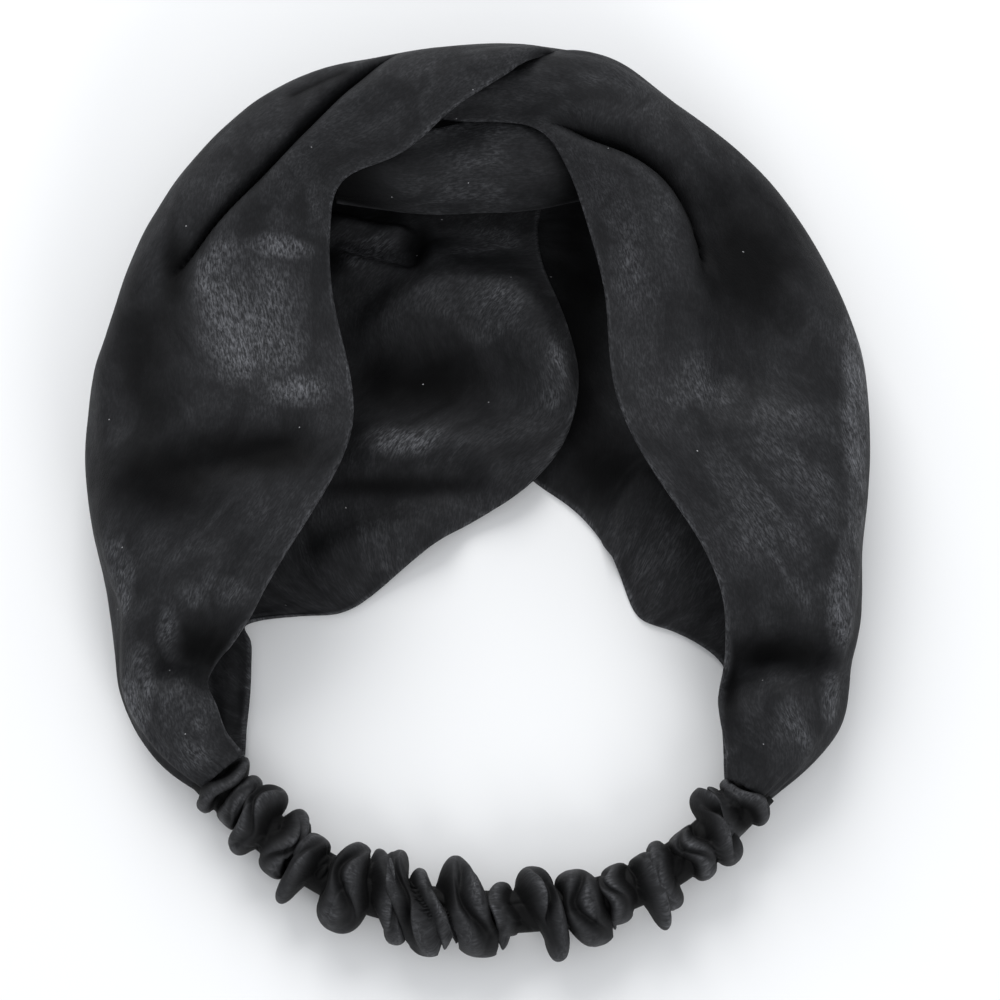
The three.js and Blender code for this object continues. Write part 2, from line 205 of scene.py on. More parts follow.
# Where a section bends, as shares of the way to the outer fold from the upper edge or from the hem,
# and its height there as a share of the rise to the crest or to the fold.
CREST_AT = 0.42
SHOULDER_AT = 0.885
SHOULDER_RISE = 0.71
HEEL_AT = 0.92
HEEL_RISE = 0.24
SOLE_AT = 0.74
HEM_BEND_AT = 0.4
# Where the upper ply ends and the lower one starts, as shares of the columns, and their blend.
UPPER_PLY = 0.5
LOWER_PLY = 0.6
PLY_BLEND = 0.02
# Folds: steps along a route, the share of it that runs out at each end, and how soon a slope counts as
# level. A fold whose crispness is below SHARP also gets painted shade along it, darkening the nap's tone.
ROUTE_STEPS = 90
RUN_OUT = 0.22
LEVEL_GAIN = 1.5
SHARP = 1.5
FOLD_PAINTED_SHADE = 0.9
# Pleats: how many broad and fine ones fit along and across a ply, the fine ones' share, and how
# much further they run at the twist than at the casing.
BROAD_PLEATS = (9, 15)
FINE_PLEATS = (14, 34)
FINE_PLEAT_SHARE = 0.35
LAST_PLEATS_LONGER = 2.4
# Nap: its resting tone, the painted highlight along a turned edge and how far in it reaches, how ragged a
# patch of painted highlight or shade is and how it fades. SEED is where the noise of all cloth is read.
RESTING_NAP = 0.3
EDGE_PAINTED_HIGHLIGHT = 0.62
EDGE_HIGHLIGHT_REACH = 1.3
RAGGED_SIZE = 9
RAGGED_DETAIL = (0.8, 2.2, 3)
RAGGED_SHINE = 0.5
RAGGED_SHADE = 0.25
PATCH_FADE = 1.4
SEED = Vector((3.1, 7.7, 1.3))


def spline(values, knots, at):
    """Natural cubic spline through values at knots, read at the places in at."""
    values, knots = np.asarray(values, float), np.asarray(knots, float)
    count, step = len(knots), np.diff(knots)
    system, bends = np.eye(count), np.zeros_like(values)
    for k in range(1, count - 1):
        system[k, k - 1 : k + 2] = step[k - 1], 2 * (step[k - 1] + step[k]), step[k]
        rise = (values[k + 1] - values[k]) / step[k] - (values[k] - values[k - 1]) / step[k - 1]
        bends[k] = 6 * rise
    bends = np.linalg.solve(system, bends.reshape(count, -1)).reshape(values.shape)
    k = np.clip(np.searchsorted(knots, at) - 1, 0, count - 2)
    shape = (-1,) + (1,) * (values.ndim - 1)
    h, a = step[k].reshape(shape), (knots[k + 1] - at).reshape(shape)
    b = (at - knots[k]).reshape(shape)
    cubic = bends[k] * a**3 / (6 * h) + bends[k + 1] * b**3 / (6 * h)
    low, high = values[k] / h - bends[k] * h / 6, values[k + 1] / h - bends[k + 1] * h / 6
    return cubic + low * a + high * b


def distances(points):
    """Distance travelled along points, from 0 at the first to 1 at the last."""
    steps = np.linalg.norm(np.diff(points, axis=0), axis=-1)
    so_far = np.concatenate([[0], np.cumsum(steps.reshape(len(steps), -1).mean(axis=1))])
    return so_far / so_far[-1]


def travelled(points):
    """Millimetres travelled along a line of points, from 0 at the first."""
    return np.concatenate([[0], np.cumsum(np.linalg.norm(np.diff(points, axis=0), axis=-1))])


def between(a, b, share, height):
    """A point that share of the way from a to b in plan, at its own height."""
    return np.array([*(a[:2] + (b[:2] - a[:2]) * share), height])


def wing_section(row):
    """One section from the upper edge over the arch and round the outer fold to the lower hem."""
    edge, fold, hem = (
        np.array([row[f"{place}_{axis}"] for axis in "xyz"], float) for place in ("edge", "fold", "hem")
    )
    lifted = hem[2] > fold[2] / 2
    sole = fold[2] / 2 if lifted else FLOOR
    shoulder = fold[2] + SHOULDER_RISE * (row["crest_z"] - fold[2])
    return np.array([
        edge,
        between(edge, fold, CREST_AT, row["crest_z"]),
        between(edge, fold, SHOULDER_AT, shoulder),
        fold,
        between(hem, fold, HEEL_AT, FLOOR + HEEL_RISE * (fold[2] - FLOOR)),
        between(hem, fold, SOLE_AT, sole),
        between(hem, fold, HEM_BEND_AT, sole if lifted else (FLOOR + hem[2]) / 2),
        hem,
    ])


def loft(sections, along, across):
    """The middle surface of a ply, as a grid of points: sections run across, and rows along it."""
    ribs = np.array([spline(section, distances(section), across) for section in sections])
    return spline(ribs, distances(ribs), along)


def grid_normals(surface):
    """The unit normal at every point of a grid."""
    along, across = np.gradient(surface, axis=0), np.gradient(surface, axis=1)
    normals = np.cross(along, across)
    return normals / np.maximum(np.linalg.norm(normals, axis=-1, keepdims=True), 1e-9)


def fold_strength(surface, fold):
    """1 on the fold's route, fading to its two sides and running out at its two ends."""
    stops = np.array(fold["route"], float)
    route = spline(stops, distances(stops), np.linspace(0, 1, ROUTE_STEPS))
    heading = np.gradient(route, axis=0)
    offsets = surface[..., None, :2] - route
    nearest = np.argmin((offsets**2).sum(axis=-1), axis=-1)
    offset = np.take_along_axis(offsets, nearest[..., None, None], axis=-2)[..., 0, :]
    towards = heading[nearest]
    side = towards[..., 0] * offset[..., 1] - towards[..., 1] * offset[..., 0]
    reach = np.where(side > 0, fold["reach_left"], fold["reach_right"])
    distance = np.abs(side) / np.linalg.norm(towards, axis=-1)
    # The place on the route is taken between its steps, so that a fold runs out smoothly.
    ahead = ((towards * offset).sum(axis=-1) / (towards**2).sum(axis=-1)).clip(-0.5, 0.5)
    place = (nearest + ahead) / (ROUTE_STEPS - 1)
    run_out = np.clip(np.minimum(place, 1 - place) / RUN_OUT, 0, 1)
    return run_out**2 * (3 - 2 * run_out) * np.exp(-((distance / reach) ** fold["crisp"]))


def noise_grid(along, across, layer=0):
    """Smooth noise at every pair of places along and across a ply."""
    return np.array([[noise.noise(SEED + Vector((a, c, layer))) for c in across] for a in along])


def slack(surface, length, width, amount):
    """Soft unevenness of lying cloth: noise stretched along the ply, in millimetres."""
    rows, columns = surface.shape[:2]
    along, across = travelled(surface[:, columns // 3]), travelled(surface[rows // 2])
    return amount * noise_grid(along / length, across / width)


def ply_share(surface):
    """How much of each column is in the upper ply, and how much in the lower one."""
    share = np.linspace(0, 1, surface.shape[1])
    return {
        "upper": 1 / (1 + np.exp((share - UPPER_PLY) / PLY_BLEND)),
        "lower": 1 / (1 + np.exp((LOWER_PLY - share) / PLY_BLEND)),
    }


def press_folds(surface, folds):
    """Presses the long folds into the plies from above, so less into a steep flank."""
    plies = ply_share(surface)
    level = np.clip(LEVEL_GAIN * np.abs(grid_normals(surface)[..., 2]), 0, 1)
    moved = np.zeros(surface.shape[:2])
    for fold in folds:
        moved += fold["height"] * fold_strength(surface, fold) * plies[fold["ply"]]
    pressed = surface.copy()
    pressed[..., 2] += moved * level
    return pressed


def pleats(surface, run, first, last, amount):
    """Fine pleats that run along the cloth into its gathered ends, in millimetres."""
    rows, columns = surface.shape[:2]
    along, across = np.linspace(0, 1, rows), np.linspace(0, 1, columns)
    near_first = first * np.exp(-((along / run) ** 2))
    near_last = last * np.exp(-(((1 - along) / (LAST_PLEATS_LONGER * run)) ** 2))
    near = np.maximum(near_first, near_last)
    broad = noise_grid(along * BROAD_PLEATS[0], across * BROAD_PLEATS[1])
    fine = noise_grid(along * FINE_PLEATS[0], across * FINE_PLEATS[1], layer=4)
    return amount * near[:, None] * (broad + FINE_PLEAT_SHARE * fine)


def nap_with_painted_light(surface, patches):
    """The nap's tone at every surface point: its resting tone raised by painted highlights, and darkened
    with painted shade where a patch is below 0.
    """
    plies, nap_and_painted_light = ply_share(surface), np.full(surface.shape[:2], RESTING_NAP)
    ragged = np.array([
        [noise.fractal(Vector(point) / RAGGED_SIZE, *RAGGED_DETAIL) for point in line] for line in surface
    ])
    for patch in patches:
        away_x = (surface[..., 0] - patch["x"]) / patch["reach_x"]
        away_y = (surface[..., 1] - patch["y"]) / patch["reach_y"]
        shines = patch["strength"] > 0
        away = away_x**2 + away_y**2 + ragged * (RAGGED_SHINE if shines else RAGGED_SHADE)
        patch_painted_light = patch["strength"] * plies[patch["ply"]] * np.exp(-(away.clip(0) ** PATCH_FADE))
        nap_and_painted_light = np.maximum(nap_and_painted_light, patch_painted_light) if shines else nap_and_painted_light * (1 + patch_painted_light)
    return nap_and_painted_light


def cloth_object(name, points, quads, cloth_uv, nap_and_painted_light, material):
    """An object of a closed cloth mesh, with a UV map in metres and its nap at every point: the cloth's
    resting tone with painted highlights and painted shade.
    """
    points[:, 2] = np.maximum(points[:, 2], LOWEST_SKIN)
    mesh = bpy.data.meshes.new(name)
    mesh.from_pydata(((points + TABLE_OFFSET) * MM).tolist(), [], quads.tolist())
    layer = mesh.uv_layers.new(name="cloth")
    corners = np.empty(len(mesh.loops), int)
    mesh.loops.foreach_get("vertex_index", corners)
    layer.data.foreach_set("uv", cloth_uv[corners].ravel().astype(np.float32))
    shine = mesh.attributes.new("nap_and_painted_light", "FLOAT", "POINT")
    shine.data.foreach_set("value", nap_and_painted_light.ravel().astype(np.float32))
    mesh.polygons.foreach_set("use_smooth", np.ones(len(mesh.polygons), bool))
    mesh.materials.append(material)
    mesh.update()
    piece = bpy.data.objects.new(name, mesh)
    bpy.context.collection.objects.link(piece)
    return piece


# Rows to each side over which the UV map evens out a ply's width.
UV_SMOOTHING = 7


def closed_ply(name, surface, nap_and_painted_light, material):
    """The closed object of one ply: a wall on both sides of its middle surface, with turned edges."""
    rows, columns = surface.shape[:2]
    normals = grid_normals(surface)
    across = np.concatenate(
        [np.zeros((rows, 1)), np.cumsum(np.linalg.norm(np.diff(surface, axis=1), axis=-1), axis=1)], axis=1
    )
    from_edge = np.minimum(across, across[:, -1:] - across)
    bead = TURNED_EDGE / 2
    rounded = np.sqrt(np.clip(1 - (1 - from_edge / bead).clip(0, 1) ** 2, 0, 1))
    swell = CLOTH_WALL + (TURNED_EDGE - CLOTH_WALL) * np.exp(-((from_edge / EDGE_SWELL_REACH) ** 2))
    half_wall = (rounded * swell / 2)[..., None]
    # Painted highlight along the turned edges, where they would catch the light.
    nap_and_painted_light = np.maximum(nap_and_painted_light, EDGE_PAINTED_HIGHLIGHT * np.exp(-((from_edge / EDGE_HIGHLIGHT_REACH) ** 2)))
    top, bottom = surface + normals * half_wall, surface - normals * half_wall
    points = np.concatenate([top.reshape(-1, 3), bottom.reshape(-1, 3)])
    grid = np.arange(rows * columns).reshape(rows, columns)
    a, b, c, d = grid[:-1, :-1], grid[1:, :-1], grid[1:, 1:], grid[:-1, 1:]
    back = rows * columns
    quads = [
        np.stack([a, b, c, d], -1).reshape(-1, 4),
        np.stack([a, d, c, b], -1).reshape(-1, 4) + back,
    ]
    for line, flip in ((grid[0], False), (grid[-1], True), (grid[:, 0], True), (grid[:, -1], False)):
        rim = np.stack([line[:-1], line[1:], line[1:] + back, line[:-1] + back], -1)
        quads.append(rim[:, ::-1] if flip else rim)
    window = np.full(2 * UV_SMOOTHING + 1, 1 / (2 * UV_SMOOTHING + 1))
    even = [np.convolve(np.pad(column, UV_SMOOTHING, "edge"), window, "valid") for column in across.T]
    length = np.broadcast_to(travelled(surface[:, columns // 3])[:, None], across.shape)
    cloth_uv = np.stack([length, np.stack(even, -1)], -1).reshape(-1, 2) * MM
    both_sides = np.tile(cloth_uv, (2, 1)), np.tile(nap_and_painted_light.ravel(), 2)
    return cloth_object(name, points, np.concatenate(quads), *both_sides, material)


# Satin: its marks as metres along the cloth and across it, its colours, the even tone between the
# marks, how many cells of lint lie in a metre, the weave's share of the relief, and the relief.
STREAK = (0.0012, 0.00034)
CLOT = (0.0015, 0.0011)
WEAVE = (0.00045, 0.0004)
MOTTLE_PATCH = (0.011, 0.007)
SATIN_BLACK = (0.0022, 0.0022, 0.0024, 1)
# The streaks' colour: the cloth's own tone where the nap rests, and painted sheen where the nap carries
# painted highlights.
SATIN_SHEEN = (0.147, 0.15, 0.161, 1)
LINT = (0.34, 0.34, 0.35, 1)
EVEN_TEXTURE = 0.43
LINT_CELLS = 75
WEAVE_RELIEF = 0.4
RELIEF_HEIGHT = 0.0002
RELIEF_STRENGTH = 0.45
# A mix node's sockets go by number, because their names repeat.
MIX_FACTOR = 0
MIX_NUMBERS = (2, 3)
MIX_COLOURS = (6, 7)
MIX_COLOUR_OUT = 2


def crinkled_satin(name, seed, gloss=0.045, lint_share=1):
    """Soft black satin with a fine crinkle along the cloth: streaks whose cool sheen is painted into the
    colour, as bright as the nap attribute's painted highlights allow, and dark in its painted shade.
    """
    material = bpy.data.materials.new(name)
    material.use_nodes = True
    nodes, links = material.node_tree.nodes, material.node_tree.links
    shader = nodes["Principled BSDF"]
    uv = nodes.new("ShaderNodeUVMap")
    uv.uv_map = "cloth"

    def pattern(length, width, detail):
        """Noise whose marks are length by width metres, running along the cloth."""
        mapping = nodes.new("ShaderNodeMapping")
        mapping.inputs["Location"].default_value = (seed, seed * 1.7, 0)
        mapping.inputs["Scale"].default_value = (1 / length, 1 / width, 1)
        texture = nodes.new("ShaderNodeTexNoise")
        texture.inputs["Scale"].default_value = 1
        texture.inputs["Detail"].default_value = detail
        texture.inputs["Roughness"].default_value = 0.6
        texture.inputs["Distortion"].default_value = 0.5
        links.new(uv.outputs["UV"], mapping.inputs["Vector"])
        links.new(mapping.outputs["Vector"], texture.inputs["Vector"])
        return texture.outputs["Fac"]

    def ramp(source, low, high, start, end):
        """Low where the source is at start, high where it is at end, and held beyond them."""
        node = nodes.new("ShaderNodeMapRange")
        node.inputs["From Min"].default_value = start
        node.inputs["From Max"].default_value = end
        node.inputs["To Min"].default_value = low
        node.inputs["To Max"].default_value = high
        links.new(source, node.inputs["Value"])
        return node.outputs["Result"]

    def multiply(first, second):
        node = nodes.new("ShaderNodeMath")
        node.operation = "MULTIPLY"
        links.new(first, node.inputs[0])
        links.new(second, node.inputs[1])
        return node.outputs["Value"]

    streaks = pattern(*STREAK, detail=4)
    clots = pattern(*CLOT, detail=4)
    weave = pattern(*WEAVE, detail=2)
    # The nap attribute: the cloth's resting tone, with painted highlights and painted shade.
    nap_and_painted_light = nodes.new("ShaderNodeAttribute")
    nap_and_painted_light.attribute_name = "nap_and_painted_light"
    # A random mottle over the nap's tone, and so over its painted sheen.
    mottle = ramp(pattern(*MOTTLE_PATCH, detail=4), low=0.7, high=1.25, start=0.38, end=0.62)
    shine = multiply(nap_and_painted_light.outputs["Fac"], mottle)
    streaky = ramp(streaks, low=0.25, high=1, start=0.42, end=0.60)
    clotted = ramp(clots, low=0.5, high=1.1, start=0.38, end=0.64)
    texture = nodes.new("ShaderNodeMix")
    texture.inputs[MIX_NUMBERS[0]].default_value = EVEN_TEXTURE
    links.new(ramp(shine, low=0.18, high=0.9, start=0.22, end=0.66), texture.inputs[MIX_FACTOR])
    links.new(multiply(streaky, clotted), texture.inputs[MIX_NUMBERS[1]])
    crinkle = multiply(texture.outputs["Result"], shine)
    colour = nodes.new("ShaderNodeMix")
    colour.data_type = "RGBA"
    colour.inputs[MIX_COLOURS[0]].default_value = SATIN_BLACK
    colour.inputs[MIX_COLOURS[1]].default_value = SATIN_SHEEN
    links.new(crinkle, colour.inputs[MIX_FACTOR])
    lint = nodes.new("ShaderNodeTexVoronoi")
    lint.voronoi_dimensions = "2D"
    lint.inputs["Scale"].default_value = LINT_CELLS
    links.new(uv.outputs["UV"], lint.inputs["Vector"])
    speck = nodes.new("ShaderNodeMix")
    speck.data_type = "RGBA"
    speck.inputs[MIX_COLOURS[1]].default_value = LINT
    chance = nodes.new("ShaderNodeSeparateColor")
    links.new(lint.outputs["Color"], chance.inputs["Color"])
    present = ramp(chance.outputs["Red"], low=0, high=lint_share, start=0.82, end=0.86)
    dot = ramp(lint.outputs["Distance"], low=1, high=0, start=0.007, end=0.012)
    links.new(multiply(dot, present), speck.inputs[MIX_FACTOR])
    links.new(colour.outputs[MIX_COLOUR_OUT], speck.inputs[MIX_COLOURS[0]])
    links.new(speck.outputs[MIX_COLOUR_OUT], shader.inputs["Base Color"])
    links.new(ramp(crinkle, low=0.62, high=0.46, start=0, end=0.6), shader.inputs["Roughness"])
    shader.inputs["Sheen Weight"].default_value = 0.01
    shader.inputs["Sheen Roughness"].default_value = 0.5
    shader.inputs["Specular IOR Level"].default_value = gloss
    relief = nodes.new("ShaderNodeMath")
    relief.operation = "MULTIPLY_ADD"
    links.new(weave, relief.inputs[0])
    relief.inputs[1].default_value = WEAVE_RELIEF
    links.new(streaks, relief.inputs[2])
    bump = nodes.new("ShaderNodeBump")
    bump.inputs["Strength"].default_value = RELIEF_STRENGTH
    bump.inputs["Distance"].default_value = RELIEF_HEIGHT
    links.new(relief.outputs["Value"], bump.inputs["Height"])
    links.new(bump.outputs["Normal"], shader.inputs["Normal"])
    return material


# A wing's grid: its size, the ply's flat width in millimetres, where the plies part along a
# section, and the first steps in from an edge, which round it.
WING_ROWS = 325
WING_COLUMNS = 150
WING_WIDTH = 130
UPPER_SPAN = 0.44
LOWER_SPAN = 0.6
EDGE_STEPS = (0.06, 0.2, 0.42, 0.75, 1.3)


def graded(count, width):
    """Places from 0 to 1 across a ply width millimetres wide, close together at both edges."""
    edges = np.array(EDGE_STEPS) / width
    inner = np.linspace(edges[-1], 1 - edges[-1], count)
    return np.concatenate([[0], edges[:-1], inner, 1 - edges[:-1][::-1], [1]])


ALONG = np.linspace(0, 1, WING_ROWS)
ACROSS = np.interp(
    graded(WING_COLUMNS, WING_WIDTH), (0, UPPER_PLY, LOWER_PLY, 1), (0, UPPER_SPAN, LOWER_SPAN, 1)
)


def make_wing(name, rows, folds, patches, seed):
    """A wing's object: lofted through its rows, then pressed, slackened and pleated, and its nap given
    painted highlights and painted shade in its patches and along its sharp folds.
    """
    smooth = loft([wing_section(row) for row in rows], ALONG, ACROSS)
    smooth[..., 2] = np.maximum(smooth[..., 2], FLOOR)
    surface = press_folds(smooth, folds)
    uneven = (
        slack(surface, length=24, width=12, amount=0.7)
        + slack(surface, length=9, width=5, amount=0.2)
        + pleats(surface, run=0.07, first=1.0, last=0.6, amount=0.75)
    )
    surface = surface + grid_normals(smooth) * uneven[..., None]
    surface[..., 2] = np.maximum(surface[..., 2], FLOOR)
    nap_and_painted_light = nap_with_painted_light(surface, patches)
    # Painted shade in the sharp creases, darkening the nap's tone along them.
    for fold in folds:
        if fold["crisp"] < SHARP:
            shaded = fold_strength(surface, fold) * ply_share(surface)[fold["ply"]]
            nap_and_painted_light = nap_and_painted_light * (1 - FOLD_PAINTED_SHADE * shaded)
    return closed_ply(name, surface, nap_and_painted_light, crinkled_satin(f"{name}_satin", seed))


left_wing = make_wing("left_wing", LEFT_WING, LEFT_FOLDS, LEFT_PAINTED_LIGHT, seed=0.0)
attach(left_wing, "root")
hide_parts("left_panel")

# Right wing: the same band on the other side. Its upper ply rolls in under the left wing, and its
# lower ply lies under the left wing's.
RIGHT_WING = [
    dict(zip(WING, row))
    for row in (
        (49.3, -56.8, 10.6, 12.4, 55.8, -61.0, 5, 48.8, -56.6, 3.0),
        (48.0, -48.5, 14, 17, 67.0, -51.1, 3.5, 48.5, -47.0, 2.0),
        (47.2, -42.4, 15, 20, 71.2, -43.5, 4, 48.0, -41.0, 2.0),
        (48.2, -36.4, 17, 21, 72.4, -35.5, 5, 49.0, -35.0, 1.0),
        (48.2, -28.5, 22, 24, 74.0, -27.8, 6.5, 45.5, -30.2, 0.6),
        (46.5, -20.0, 25, 27, 75.0, -18.0, 8, 37.5, -26.0, 0.6),
        (43.3, -13.0, 26, 28, 75.4, -10.0, 10, 32.0, -23.6, 0.6),
        (38.5, -5.5, 27, 29, 75.9, -1.5, 11.5, 28.4, -15.6, 0.6),
        (30.5, 7.5, 27, 30, 76.5, 11.5, 14, 18.5, -1.5, 0.6),
        (26.5, 19.0, 26, 30, 75.8, 22.5, 14, 9.0, 6.0, 0.6),
        (25.0, 36.0, 25, 30, 71.5, 38.0, 15, 8.0, 22.0, 0.6),
        (22.0, 49.0, 25, 30, 65.0, 51.0, 15, 9.0, 36.0, 0.6),
        (19.0, 58.5, 26, 31, 55.0, 63.5, 15, 8.0, 48.0, 0.6),
        (14.0, 67.5, 27, 32, 39.5, 75.5, 16, 12.0, 59.0, 0.6),
        (7.0, 71.5, 25, 32, 28.5, 84.0, 16, 23.5, 70.0, 1.6),
        (-2.0, 72.5, 24, 31, 15.5, 85.6, 17, 9.0, 75.0, 9.5),
        (-9.0, 73.0, 23, 29, 3.0, 81.0, 18, -4.0, 75.0, 13.0),
    )
]
RIGHT_FOLDS = [
    dict(zip(FOLD, row))
    for row in (
        (
            ((12, 71), (17, 69.8), (22.7, 67.4), (31.4, 63.4), (38.9, 56.8), (43, 47), (44.5, 36)),
            2.0, 0.9, -8.0, 1.1, "upper",
        ),
        (((38, 63), (44, 55), (47, 44), (48, 28), (47, 8)), 14, 3.4, -6.0, 1.8, "upper"),
        (((20, 64), (29, 56), (34, 46), (36, 34)), 5, 6, 1.8, 2, "upper"),
        (((45, -44.5), (49.5, -39.5), (55, -35.8), (62, -34.5), (71, -36)), 6.5, 4.2, -6.0, 2, "upper"),
        (((50, -48.5), (53, -44), (58.5, -41), (67, -41)), 3, 6, 1.4, 2, "upper"),
        (((27, -16), (26.8, -7.4), (27.4, -4), (28.8, -0.4), (36, 9)), 1.2, 8, 3.2, 2, "lower"),
    )
]
# Painted highlights, and below 0 painted shade, in the right wing's nap.
RIGHT_PAINTED_LIGHT = [
    dict(zip(PAINTED_LIGHT, row))
    for row in (
        (32, 45, 9.5, 19, 0.46, "upper"),
        (60, -3, 18.5, 24.5, 0.5, "upper"),
        (74, 10, 3.8, 24.5, 0.95, "upper"),
        (71, -22, 3.5, 12, 0.9, "upper"),
        (61.5, -47, 7, 6.5, 0.55, "upper"),
        (69, -43, 3, 7, 0.9, "upper"),
        (43.5, 18, 11.5, 8, 0.5, "upper"),
        (19, 78, 9.5, 4, 0.38, "upper"),
        (53, 42.5, 11, 17, -0.92, "upper"),
        (59, -33, 12, 3.5, -0.97, "upper"),
        (49.5, -40, 2.5, 7, -0.92, "upper"),
        (35, -11, 7, 12, 0.52, "lower"),
        (20, 34.5, 7, 30, -0.98, "lower"),
        (24.5, 6, 8.5, 8.5, -0.92, "lower"),
    )
]
right_wing = make_wing("right_wing", RIGHT_WING, RIGHT_FOLDS, RIGHT_PAINTED_LIGHT, seed=0.37)
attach(right_wing, "root")
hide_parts("right_panel")

# Twist band: the strip of the same satin that crosses inside the twist and holds the two wings
# together. Its ends run in under both upper plies.
BAND = ("x", "near_y", "near_z", "crest_z", "far_y", "far_z")
TWIST_BAND = [
    dict(zip(BAND, row))
    for row in (
        (-28, 57.0, 19, 28, 66.0, 31.0),
        (-19, 56.5, 15, 29, 67.0, 32.2),
        (-9, 55.5, 14, 27, 69.5, 27.0),
        (2, 56.5, 14, 26, 72.5, 21.5),
        (12, 57.0, 13, 24.5, 73.5, 19.5),
        (20, 58.5, 12, 22.5, 74.0, 17),
        (27, 60.0, 12, 20.5, 74.0, 14),
    )
]


BAND_ROWS = 90
BAND_COLUMNS = 40
BAND_WIDTH = 26
NEAR_SHOULDER_AT = 0.16
FAR_SHOULDER_AT = 0.86
BAND_SHOULDER_RISE = 0.7
# Painted highlight in the band's middle, and weaker painted light over all of the stretch that lies open;
# beyond it, in under the upper plies, the tone falls to black as painted shade.
BAND_PAINTED_HIGHLIGHT = {"x": -3, "y": 63, "reach_x": 11, "reach_y": 5, "strength": 0.55}
OPEN_STRETCH_PAINTED_LIGHT = {"x": -1, "reach_x": 17, "strength": 0.4}


def band_section(row):
    """One section across the band, from its near edge over its crest to its far edge."""
    near, far = (np.array([row["x"], row[f"{side}_y"], row[f"{side}_z"]]) for side in ("near", "far"))
    near_shoulder, far_shoulder = (
        edge[2] + BAND_SHOULDER_RISE * (row["crest_z"] - edge[2]) for edge in (near, far)
    )
    return np.array([
        near,
        between(near, far, NEAR_SHOULDER_AT, near_shoulder),
        between(near, far, 0.5, row["crest_z"]),
        between(near, far, FAR_SHOULDER_AT, far_shoulder),
        far,
    ])


band_sections = [band_section(row) for row in TWIST_BAND]
band_surface = loft(band_sections, np.linspace(0, 1, BAND_ROWS), graded(BAND_COLUMNS, BAND_WIDTH))
band_slack = slack(band_surface, length=14, width=5, amount=0.6)
band_surface = band_surface + grid_normals(band_surface) * band_slack[..., None]
shine_x = (band_surface[..., 0] - BAND_PAINTED_HIGHLIGHT["x"]) / BAND_PAINTED_HIGHLIGHT["reach_x"]
shine_y = (band_surface[..., 1] - BAND_PAINTED_HIGHLIGHT["y"]) / BAND_PAINTED_HIGHLIGHT["reach_y"]
stretch_x = (band_surface[..., 0] - OPEN_STRETCH_PAINTED_LIGHT["x"]) / OPEN_STRETCH_PAINTED_LIGHT["reach_x"]
# The band's nap is painted light: highlight in the middle, painted shade towards the ends.
band_painted_light = np.maximum(
    BAND_PAINTED_HIGHLIGHT["strength"] * np.exp(-(shine_x**2) - shine_y**2),
    OPEN_STRETCH_PAINTED_LIGHT["strength"] * np.exp(-(stretch_x**4)),
)
twist_band = closed_ply("twist_wrap", band_surface, band_painted_light, crinkled_satin("twist_satin", seed=0.71))
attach(twist_band, "root")
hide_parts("twist_band")

# Back casing: a cloth tube gathered on its elastic to half its length. Each gather is a puffed
# ridge that runs over the tube from a tip inside the loop to a tip outside it, and is as wide at
# each tip as its table says, with a tight neck to the next.
GATHER = ("inner_x", "inner_y", "inner_width", "outer_x", "outer_y", "outer_width", "rise")
GATHERS = [
    dict(zip(GATHER, row))
    for row in (
        (-45.1, -52.6, 2.8, -54.6, -62.8, 3.6, 6.4),
        (-42.7, -56.5, 4.0, -49.9, -65.5, 4.6, 7.0),
        (-38.0, -58.8, 6.5, -47.9, -71.2, 4.8, 7.8),
        (-33.8, -63.0, 4.8, -41.4, -75.3, 6.0, 7.2),
        (-30.1, -68.1, 5.7, -38.9, -81.0, 3.6, 7.6),
        (-22.2, -69.4, 7.4, -28.4, -86.6, 8.8, 8.2),
        (-18.9, -70.4, 4.5, -16.5, -89.2, 5.0, 7.6),
        (-14.8, -70.6, 5.7, -10.1, -91.5, 8.4, 8.3),
        (-11.0, -74.2, 4.0, -5.5, -87.6, 4.0, 7.2),
        (-4.1, -71.7, 7.0, 0.7, -91.7, 10.5, 8.4),
        (4.9, -76.9, 3.8, 5.6, -87.6, 4.5, 6.6),
        (10.3, -73.8, 7.3, 16.0, -92.5, 4.6, 8.0),
        (18.2, -74.5, 8.0, 23.9, -89.4, 8.0, 8.2),
        (26.4, -73.5, 5.4, 28.4, -85.1, 5.0, 7.4),
        (31.1, -71.8, 4.6, 37.0, -86.3, 3.2, 7.6),
        (34.1, -69.1, 3.8, 39.2, -82.1, 4.6, 7.8),
        (39.4, -67.0, 5.7, 45.7, -76.1, 4.8, 8.0),
        (42.5, -59.0, 7.6, 50.9, -73.1, 5.4, 7.8),
        (46.0, -59.6, 3.5, 50.4, -67.1, 4.0, 7.4),
        (47.8, -57.2, 3.0, 56.6, -65.3, 3.8, 6.6),
    )
]
CASING_ROUTE = (
    (-55.5, -53.0), (-51.0, -57.5), (-40.5, -67.5), (-28.5, -76.0), (-14, -81.0), (3, -82.8),
    (18, -81.5), (31, -77.5), (43, -70.0), (52.5, -61.0), (57.0, -56.0),
)
# Millimetres: the tube's middle above the table, its necks, how far it runs into the wings at each
# end, how far its ridges bend along it, how deep it is cut where two meet, and its girth laid flat
# in the UV map.
CASING_AXIS = 7.2
NECK_HALF_WIDTH = 4.2
NECK_HALF_HEIGHT = 3.4
CASING_TUCK = 4.0
RIDGE_BEND = 1.0
NECK_CUT = 2.5
CASING_GIRTH = 40
ROUTE_POINTS = 1500
CASING_RINGS = 520
RING_POINTS = 80
# How full a ridge is, how near in fullness two ridges meet in a neck, and the lip that folds into a
# ridge: its depth, width and wander over it, and the ridge's width from which it shows.
PUFF = 2.3
NECK_SHARE = 0.15
LIP_DEPTH = 0.55
LIP_WIDTH = 0.3
LIP_WANDER = 0.42
LIP_FROM = 3.2
LIP_EASE = 3
LEAN = 0.55
# Painted highlight on each gather's crest, falling to black in the necks as painted shade.
CREST_PAINTED_LIGHT = 0.56
